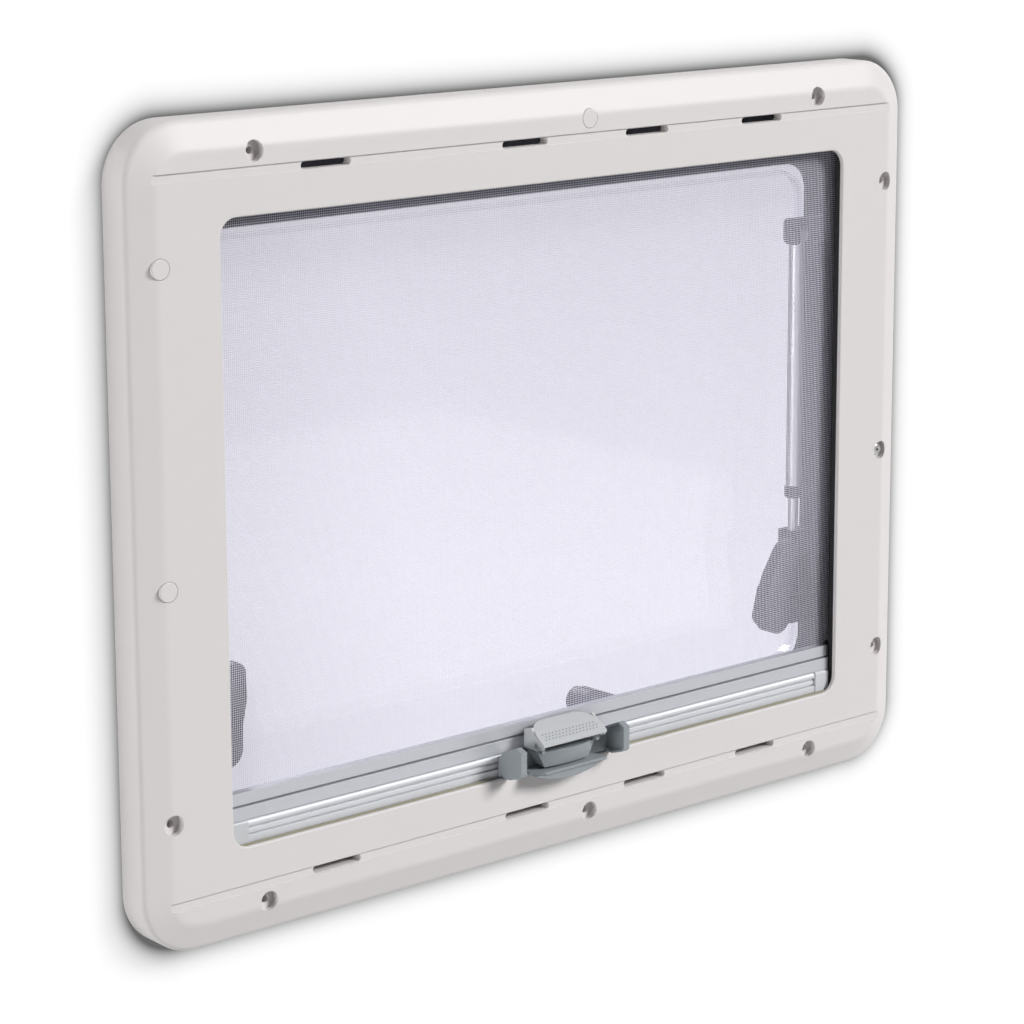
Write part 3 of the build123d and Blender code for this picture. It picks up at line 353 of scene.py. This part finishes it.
def flat_mesh(name, points, faces):
    """A new object from points and the faces between them."""
    mesh = bpy.data.meshes.new(name)
    mesh.from_pydata(points, [], faces)
    mesh.update()
    piece = bpy.data.objects.new(name, mesh)
    bpy.context.scene.collection.objects.link(piece)
    return piece


def block_mesh(name, low, high):
    """A plain upright block between two corners."""
    points = [(x, y, z) for x in (low[0], high[0]) for y in (low[1], high[1]) for z in (low[2], high[2])]
    faces = [(0, 1, 3, 2), (4, 6, 7, 5), (0, 4, 5, 1), (2, 3, 7, 6), (0, 2, 6, 4), (1, 5, 7, 3)]
    return flat_mesh(name, points, faces)


def holed_slab(name, hole, radius, middle_z, outside, front, back):
    """An upright slab with a rounded cut-out. Each corner of the hole fans out to the slab's corner."""
    steps = 10
    inner, outer = [], []
    corners = ((1, 1, outside[1], outside[3]), (-1, 1, outside[0], outside[3]),
               (-1, -1, outside[0], outside[2]), (1, -1, outside[1], outside[2]))
    for number, (side, rise, edge_x, edge_z) in enumerate(corners):
        for step in range(steps + 1):
            angle = math.radians(90 * (number + step / steps))
            inner.append((side * (hole[0] / 2 - radius) + radius * math.cos(angle),
                          middle_z + rise * (hole[1] / 2 - radius) + radius * math.sin(angle)))
            outer.append((edge_x, edge_z))
    count = len(inner)
    points = [(x, depth, z) for depth in (front, back) for ring in (inner, outer) for x, z in ring]
    faces = []
    for start in range(count):
        end = (start + 1) % count
        near_in, near_out = (start, end), (start + count, end + count)
        far_in, far_out = (start + 2 * count, end + 2 * count), (start + 3 * count, end + 3 * count)
        faces.append((near_in[0], near_in[1], near_out[1], near_out[0]))
        faces.append((far_in[1], far_in[0], far_out[0], far_out[1]))
        faces.append((near_in[1], near_in[0], far_in[0], far_in[1]))
        faces.append((near_out[0], near_out[1], far_out[1], far_out[0]))
    slab = flat_mesh(name, points, faces)
    slab.data.validate()
    return slab


class WINDOW_OT_frames(bpy.types.Operator):
    """Finish the inner frame, its screw covers, the outer frame, the seal and the hinge"""
    bl_idname = "window.frames"
    bl_label = "Frames"

    def execute(self, context):
        looks = context.scene.window_frame
        dress("frame_plastic", moulded("Frame plastic", looks.face, looks.edge, looks.grain, roughness=0.45,
                                       specular=0.3, crease=looks.crease))
        dress("outer_plastic", moulded("Outer plastic", looks.outer, looks.edge, looks.grain, roughness=0.5))
        dress("seal_rubber", moulded("Seal rubber", looks.rubber, looks.edge, looks.grain, roughness=0.7,
                                     specular=0.3))
        dress("hinge_metal", drawn_metal("Hinge metal", looks.hinge, 0.4, 0.8, looks.edge / 2))
        dress("screw_steel", drawn_metal("Screw steel", looks.screw, 0.3, 0.8, looks.edge / 3, along_x=False))
        return {"FINISHED"}


class WINDOW_OT_pane(bpy.types.Operator):
    """Finish the two acrylic sheets of the sash"""
    bl_idname = "window.pane"
    bl_label = "Pane"

    def execute(self, context):
        looks = context.scene.window_pane
        dress("acrylic", acrylic_sheet("Acrylic sheet", looks.sheet, looks.index))
        return {"FINISHED"}


class WINDOW_OT_screen(bpy.types.Operator):
    """Hang the woven flyscreen between its roller and its bar, and finish the rollers"""
    bl_idname = "window.screen"
    bl_label = "Flyscreen"

    def execute(self, context):
        looks = context.scene.window_screen
        depth = (cloth_low[1] + cloth_high[1]) / 2
        columns, rows = 44, 30
        points = [(cloth_low[0] + (cloth_high[0] - cloth_low[0]) * column / columns, depth,
                   cloth_low[2] + (cloth_high[2] - cloth_low[2]) * row / rows)
                  for row in range(rows + 1) for column in range(columns + 1)]
        faces = []
        for row in range(rows):
            for column in range(columns):
                corner = row * (columns + 1) + column
                faces.append((corner, corner + 1, corner + columns + 2, corner + columns + 1))
        cloth = flat_mesh("flyscreen_cloth", points, faces)
        cloth.data.materials.append(screen_cloth("Screen cloth", looks.thread, looks.pitch, looks.width))
        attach(cloth, "window")
        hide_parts("flyscreen_mesh")
        dress("roller_cloth", wound_cloth("Wound cloth", looks.wound))
        return {"FINISHED"}


class WINDOW_OT_bars(bpy.types.Operator):
    """Finish the flyscreen bar, the blind bar, their ends and the side guides"""
    bl_idname = "window.bars"
    bl_label = "Bars and guides"

    def execute(self, context):
        looks = context.scene.window_bars
        edge = context.scene.window_frame.edge
        grain = context.scene.window_frame.grain
        dress("bar_metal", drawn_metal("Flyscreen bar metal", looks.bar, 0.45, 0.45, edge / 3))
        coat(frame["nodes"]["blind_bar"], drawn_metal("Blind bar metal", looks.blind, 0.6, 0.35, edge))
        dress("cap_plastic", moulded("Cap plastic", looks.cap, edge, grain))
        dress("guide_plastic", moulded("Guide plastic", looks.guide, edge / 2, grain, roughness=0.55))
        pile = moulded("Pile", looks.pile, edge / 3, grain / 2, roughness=0.9, depth=0.4, specular=0.1)
        # One strip on each side of the handle, on the lower lip of the opening
        inner_end, outer_end = 0.062, 0.288
        front, back = frame_low[1] + 0.0034, frame_low[1] + 0.0054
        lip_z = flap_low[2] - 0.0190
        foot, top = lip_z - 0.0030, lip_z + looks.pile_rise
        for name, start, end in (("pile_strip_left", -outer_end, -inner_end),
                                 ("pile_strip_right", inner_end, outer_end)):
            strip = block_mesh(name, (start, front, foot), (end, back, top))
            strip.data.materials.append(pile)
            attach(strip, "window")
        return {"FINISHED"}


def dot_grid_tree(material):
    """Rows of small round dots, every other row moved by half a pitch, on a slanted strip."""
    tree = bpy.data.node_groups.new("Grip dots", "GeometryNodeTree")
    inputs = {}
    for name, kind in (("Dots", "NodeSocketInt"), ("Rows", "NodeSocketInt"), ("Dot pitch", "NodeSocketFloat"),
                       ("Row pitch", "NodeSocketFloat"), ("Dot size", "NodeSocketFloat"),
                       ("Slope", "NodeSocketFloat"), ("Centre", "NodeSocketVector")):
        inputs[name] = tree.interface.new_socket(name, in_out="INPUT", socket_type=kind).identifier
    tree.interface.new_socket("Geometry", in_out="OUTPUT", socket_type="NodeSocketGeometry")
    grid = NodeTree(tree)
    add, join, maths = grid.add, grid.join, grid.maths
    given = add("NodeGroupInput")
    made = add("NodeGroupOutput")
    total = maths("MULTIPLY", given.outputs["Dots"], given.outputs["Rows"])
    points = add("GeometryNodePoints")
    join(total, points.inputs["Count"])
    index = add("GeometryNodeInputIndex").outputs[0]
    row = maths("FLOOR", maths("DIVIDE", maths("ADD", index, 0.5), given.outputs["Dots"]))
    column = maths("SUBTRACT", index, maths("MULTIPLY", row, given.outputs["Dots"]))
    shifted = maths("ADD", column, maths("MULTIPLY", maths("MODULO", row, 2), 0.5))
    middle_column = maths("SUBTRACT", maths("MULTIPLY", given.outputs["Dots"], 0.5), 0.25)
    across = maths("MULTIPLY", maths("SUBTRACT", shifted, middle_column), given.outputs["Dot pitch"])
    middle_row = maths("MULTIPLY", maths("SUBTRACT", given.outputs["Rows"], 1), 0.5)
    along = maths("MULTIPLY", maths("SUBTRACT", row, middle_row), given.outputs["Row pitch"])
    place = add("ShaderNodeCombineXYZ")
    join(across, place.inputs[0])
    join(along, place.inputs[1])
    join(place.outputs[0], points.inputs["Position"])
    radius = maths("MULTIPLY", given.outputs["Dot size"], 0.5)
    dot = add("GeometryNodeMeshCylinder", fill_type="TRIANGLE_FAN")
    dot.inputs["Vertices"].default_value = 10
    join(radius, dot.inputs["Radius"])
    height_share = 0.22
    join(maths("MULTIPLY", given.outputs["Dot size"], height_share), dot.inputs["Depth"])
    spread = add("GeometryNodeInstanceOnPoints")
    join(points.outputs[0], spread.inputs["Points"])
    join(dot.outputs["Mesh"], spread.inputs["Instance"])
    turned = add("ShaderNodeCombineXYZ")
    join(given.outputs["Slope"], turned.inputs[0])
    real = add("GeometryNodeRealizeInstances")
    join(spread.outputs[0], real.inputs[0])
    moved = add("GeometryNodeTransform")
    join(real.outputs[0], moved.inputs["Geometry"])
    join(given.outputs["Centre"], moved.inputs["Translation"])
    join(turned.outputs[0], moved.inputs["Rotation"])
    dressed = add("GeometryNodeSetMaterial")
    dressed.inputs["Material"].default_value = material
    join(moved.outputs[0], dressed.inputs["Geometry"])
    join(dressed.outputs[0], made.inputs[0])
    return tree, inputs


class WINDOW_OT_handle(bpy.types.Operator):
    """Finish the handle and its catch, and set the dots on the grip flap"""
    bl_idname = "window.handle"
    bl_label = "Handle"

    def execute(self, context):
        looks = context.scene.window_handle
        edge = context.scene.window_frame.edge
        grain = context.scene.window_frame.grain
        dress("handle_plastic", moulded("Handle plastic", looks.body, edge, grain))
        grip = moulded("Grip plastic", looks.grip, edge * 0.7, grain)
        dress("grip_plastic", grip)
        # The dots are coloured at half the grip's tone: painted shade that makes the raised dots read as
        # dimples
        painted_shade_dot_finish = moulded("Grip dots", [value * 0.5 for value in looks.grip], edge / 6, grain)
        tree, inputs = dot_grid_tree(painted_shade_dot_finish)
        holder = bpy.data.objects.new("grip_dots_maker", bpy.data.meshes.new("grip_dots_maker"))
        context.scene.collection.objects.link(holder)
        # The strip with the dots runs down from the flap's crease to its front edge
        crease_from_back, crease_drop, front_drop, lift = 0.011, 0.0039, 0.0115, 0.00005
        crease_y, crease_z = flap_high[1] - crease_from_back, flap_high[2] - crease_drop
        front_y, front_z = flap_low[1], flap_high[2] - front_drop
        slope = math.atan2(crease_z - front_z, crease_y - front_y)
        normal = Vector((0, -math.sin(slope), math.cos(slope)))
        centre = Vector((0, (crease_y + front_y) / 2, (crease_z + front_z) / 2)) + normal * lift
        modifier = holder.modifiers.new("Dots", "NODES")
        modifier.node_group = tree
        for name, value in (("Dots", looks.dots), ("Rows", looks.dot_rows), ("Dot pitch", looks.dot_pitch),
                            ("Row pitch", looks.row_pitch), ("Dot size", looks.dot_size), ("Slope", slope),
                            ("Centre", tuple(centre))):
            modifier[inputs[name]] = value
        made = holder.evaluated_get(context.evaluated_depsgraph_get())
        mesh = bpy.data.meshes.new_from_object(made)
        if not mesh.polygons:
            raise RuntimeError("the grip dots came out empty")
        bpy.data.objects.remove(holder)
        dots = bpy.data.objects.new("grip_dots", mesh)
        context.scene.collection.objects.link(dots)
        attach(dots, "handle_flap")
        return {"FINISHED"}


class WINDOW_OT_fittings(bpy.types.Operator):
    """Finish the stays, the turning catches and their strikers"""
    bl_idname = "window.fittings"
    bl_label = "Stays and catches"

    def execute(self, context):
        looks = context.scene.window_fittings
        edge = context.scene.window_frame.edge
        grain = context.scene.window_frame.grain
        dress("stay_metal", drawn_metal("Stay metal", looks.tube, 0.32, 0.6, edge / 3, along_x=False))
        dress("stay_plastic", moulded("Stay plastic", looks.stay, edge, grain))
        dress("catch_plastic", moulded("Catch plastic", looks.catch, edge, grain))
        dress("striker_metal", moulded("Striker coat", looks.striker, edge / 2, grain, roughness=0.5))
        return {"FINISHED"}


# Stage

CAMERA_PLACE = (-1.46792, -1.72371, 0.78313)
CAMERA_TURN = ((0.7642128, 0.1305362, -0.6316163),
               (-0.6449516, 0.1485448, -0.7496478),
               (-0.0040329, 0.9802524, 0.1977094))
CAMERA_LENS = 110.683
CAMERA_SHIFT = -0.09961

# Each lamp's name, place from the middle of the window, width and the value that holds its power
LAMPS = (
    ("Key lamp", (6.28, -8.03, 5.88), 4.3, "key"),
    ("Side lamp", (-5.48, -0.48, 0.0), 2.2, "side"),
    ("Back lamp", (1.2, 4.6, 2.2), 2.2, "back"),
)


def seen_rays(look):
    """1 for rays from the camera, from mirrors and through clear pieces."""
    rays = look.add("ShaderNodeLightPath")
    seen = look.maths("MAXIMUM", rays.outputs["Is Camera Ray"], rays.outputs["Is Glossy Ray"])
    return look.maths("MAXIMUM", seen, rays.outputs["Is Transmission Ray"])


def painted_frame_shadow(look, axes, depth, width):
    """Painted shadow on the wall: 1 away from the frame, and less in a soft band round it that leans to the
    right and down.
    """
    corner, steepness = 0.042, 1.2
    inset_left, past_right, past_low = 0.0025, 0.023, 0.006
    left, right = frame_low[0] + inset_left, frame_high[0] + past_right
    low, high = frame_low[2] - past_low, frame_high[2]
    reach = []
    for axis, start, end in (("X", left, right), ("Z", low, high)):
        away = look.maths("ABSOLUTE", look.maths("SUBTRACT", axes[axis], (start + end) / 2))
        past = look.maths("MAXIMUM", look.maths("SUBTRACT", away, (end - start) / 2 - corner), 0.0)
        reach.append(look.maths("POWER", past, 2.0))
    distance = look.maths("POWER", look.maths("ADD", *reach), 0.5)
    distance = look.maths("MAXIMUM", look.maths("SUBTRACT", distance, corner), 0.0)
    fading = look.maths("POWER", look.maths("DIVIDE", distance, width), steepness)
    falloff = look.maths("EXPONENT", look.maths("MULTIPLY", fading, -1.0))
    room_side = look.maths("LESS_THAN", axes["Y"], 0.002)
    falloff = look.maths("MULTIPLY", falloff, room_side)
    return look.maths("SUBTRACT", 1.0, look.maths("MULTIPLY", falloff, depth))


def wall_finish(name, base, shade, width):
    """Pale wall that shows nearly white, with a soft shadow round the frame painted into its colour."""
    look = Shading(name)
    _, axes = look.place()
    light = painted_frame_shadow(look, axes, shade, width)
    tone = look.add("ShaderNodeCombineColor")
    for socket in tone.inputs:
        look.join(light, socket)
    # The painted shadow darkens both the glow and a small share of real lit colour; that share still takes
    # real shadows
    lit_share, glow_share = 0.15, 0.88
    share = look.add("ShaderNodeMixRGB", blend_type="MULTIPLY")
    share.inputs["Fac"].default_value = 1
    share.inputs["Color2"].default_value = (lit_share, lit_share, lit_share, 1)
    look.join(tone.outputs[0], share.inputs["Color1"])
    lit = look.add("ShaderNodeBsdfDiffuse")
    look.join(share.outputs[0], lit.inputs["Color"])
    glow = look.add("ShaderNodeEmission")
    glow.inputs["Strength"].default_value = glow_share
    look.join(tone.outputs[0], glow.inputs["Color"])
    plain = look.tinted("ShaderNodeBsdfDiffuse", base)
    return look.finish(look.mixed(seen_rays(look), plain, look.summed(lit, glow)))


def floor_finish(name, base):
    """Pale floor that keeps the shadows on it and throws little light up."""
    look = Shading(name)
    seen = seen_rays(look)
    bounce, glow_share = 0.6, 0.35
    tone = look.add("ShaderNodeMixRGB")
    tone.inputs["Color1"].default_value = (*[value * bounce for value in base], 1)
    tone.inputs["Color2"].default_value = (*base, 1)
    look.join(seen, tone.inputs["Fac"])
    lit = look.add("ShaderNodeBsdfDiffuse")
    look.join(tone.outputs[0], lit.inputs["Color"])
    glow = look.add("ShaderNodeEmission")
    look.join(look.maths("MULTIPLY", seen, glow_share), glow.inputs["Strength"])
    return look.finish(look.summed(lit, glow))


def studio_world(sky):
    """Even light from all round. The camera and clear pieces see a bright haze over brighter ground."""
    world = bpy.data.worlds.new("Studio")
    world.use_nodes = True
    view = NodeTree(world.node_tree)
    view.nodes.clear()
    output = view.add("ShaderNodeOutputWorld")
    rays = view.add("ShaderNodeLightPath")
    seen = view.maths("MAXIMUM", rays.outputs["Is Camera Ray"], rays.outputs["Is Transmission Ray"])
    even = view.tinted("ShaderNodeBackground", (0.98, 0.985, 1.0))
    even.inputs["Strength"].default_value = sky
    outside = view.tinted("ShaderNodeBackground", (0.965, 0.96, 1.0))
    coordinates = view.add("ShaderNodeTexCoord")
    split = view.add("ShaderNodeSeparateXYZ")
    view.join(coordinates.outputs["Generated"], split.inputs[0])
    # The haze gives way to the ground a little below the level view
    ground = view.ramp(split.outputs["Z"], -0.13, -0.25, 0.76, 1.0)
    # The view out of the window darkens a little to the left. The view back into the room doesn't
    aside = view.ramp(split.outputs["X"], 0.54, 0.60, 0.80, 1.0)
    inward = view.maths("LESS_THAN", split.outputs["Y"], 0.5)
    view.join(view.maths("MULTIPLY", ground, view.maths("MAXIMUM", aside, inward)), outside.inputs["Strength"])
    view.join(view.mixed(seen, even, outside).outputs[0], output.inputs[0])
    return world


def lamp(name, place, target, size, power):
    """A round lamp that faces a target."""
    light = bpy.data.lights.new(name, "AREA")
    light.shape = "DISK"
    light.size = size
    light.energy = power
    holder = bpy.data.objects.new(name, light)
    bpy.context.scene.collection.objects.link(holder)
    holder.location = place
    holder.rotation_euler = (Vector(target) - Vector(place)).to_track_quat("-Z", "Y").to_euler()


class WINDOW_OT_stage(bpy.types.Operator):
    """Set the window in its wall above a pale floor, with soft lamps and the camera"""
    bl_idname = "window.stage"
    bl_label = "Wall, lamps and camera"

    def execute(self, context):
        looks = context.scene.window_stage
        scene = context.scene
        middle_z = (frame_low[2] + frame_high[2]) / 2
        # The wall stands a hair clear of both flanges
        gap = 0.0005
        front, back = gap, looks.wall_thickness - gap
        floor_z, wall_top, wall_side = middle_z - 1.25, middle_z + 1.5, 1.9
        wall = holed_slab("wall", (looks.cutout_width, looks.cutout_height), looks.cutout_corner, middle_z,
                          (-wall_side, wall_side, floor_z, wall_top), front, back)
        wall.data.materials.append(wall_finish("Wall", looks.wall, looks.shade, looks.shade_width))
        floor_side, floor_front = 4, -5
        floor = flat_mesh("floor", [(-floor_side, floor_front, floor_z), (floor_side, floor_front, floor_z),
                                    (floor_side, back, floor_z), (-floor_side, back, floor_z)], [(0, 1, 2, 3)])
        floor.data.materials.append(floor_finish("Floor", looks.wall))
        for name, (across, out, rise), size, power in LAMPS:
            lamp(name, (across, out, middle_z + rise), (0, 0, middle_z), size, getattr(looks, power))
        scene.world = studio_world(looks.sky)
        scene.view_settings.view_transform = "Standard"

        lens = bpy.data.cameras.new("Camera")
        lens.lens = CAMERA_LENS
        lens.sensor_width = 36
        lens.shift_y = CAMERA_SHIFT
        camera = bpy.data.objects.new("Camera", lens)
        scene.collection.objects.link(camera)
        camera.matrix_world = Matrix.Translation(CAMERA_PLACE) @ Matrix(CAMERA_TURN).to_4x4()
        scene.camera = camera
        return {"FINISHED"}


OPERATORS = (WINDOW_OT_frames, WINDOW_OT_pane, WINDOW_OT_screen, WINDOW_OT_bars, WINDOW_OT_handle,
             WINDOW_OT_fittings, WINDOW_OT_stage)


class WINDOW_PT_sidebar(bpy.types.Panel):
    """Sizes and colours of the window"""
    bl_idname = "WINDOW_PT_sidebar"
    bl_label = "Caravan window"
    bl_space_type = "VIEW_3D"
    bl_region_type = "UI"
    bl_category = "Window"

    def draw(self, context):
        for (name, group), operator in zip(GROUPS.items(), OPERATORS):
            box = self.layout.box()
            box.label(text=operator.bl_label)
            looks = getattr(context.scene, name)
            for key in group.__annotations__:
                box.prop(looks, key)
            box.operator(operator.bl_idname)


CLASSES = (*GROUPS.values(), *OPERATORS, WINDOW_PT_sidebar)


def register():
    for kind in CLASSES:
        bpy.utils.register_class(kind)
    for name, group in GROUPS.items():
        setattr(bpy.types.Scene, name, PointerProperty(type=group))


def unregister():
    for name in GROUPS:
        delattr(bpy.types.Scene, name)
    for kind in reversed(CLASSES):
        bpy.utils.unregister_class(kind)


def main():
    register()
    bpy.ops.window.frames()
    bpy.ops.window.pane()
    bpy.ops.window.screen()
    bpy.ops.window.bars()
    bpy.ops.window.handle()
    bpy.ops.window.fittings()
    bpy.ops.window.stage()


if __name__ == "__main__":
    main()
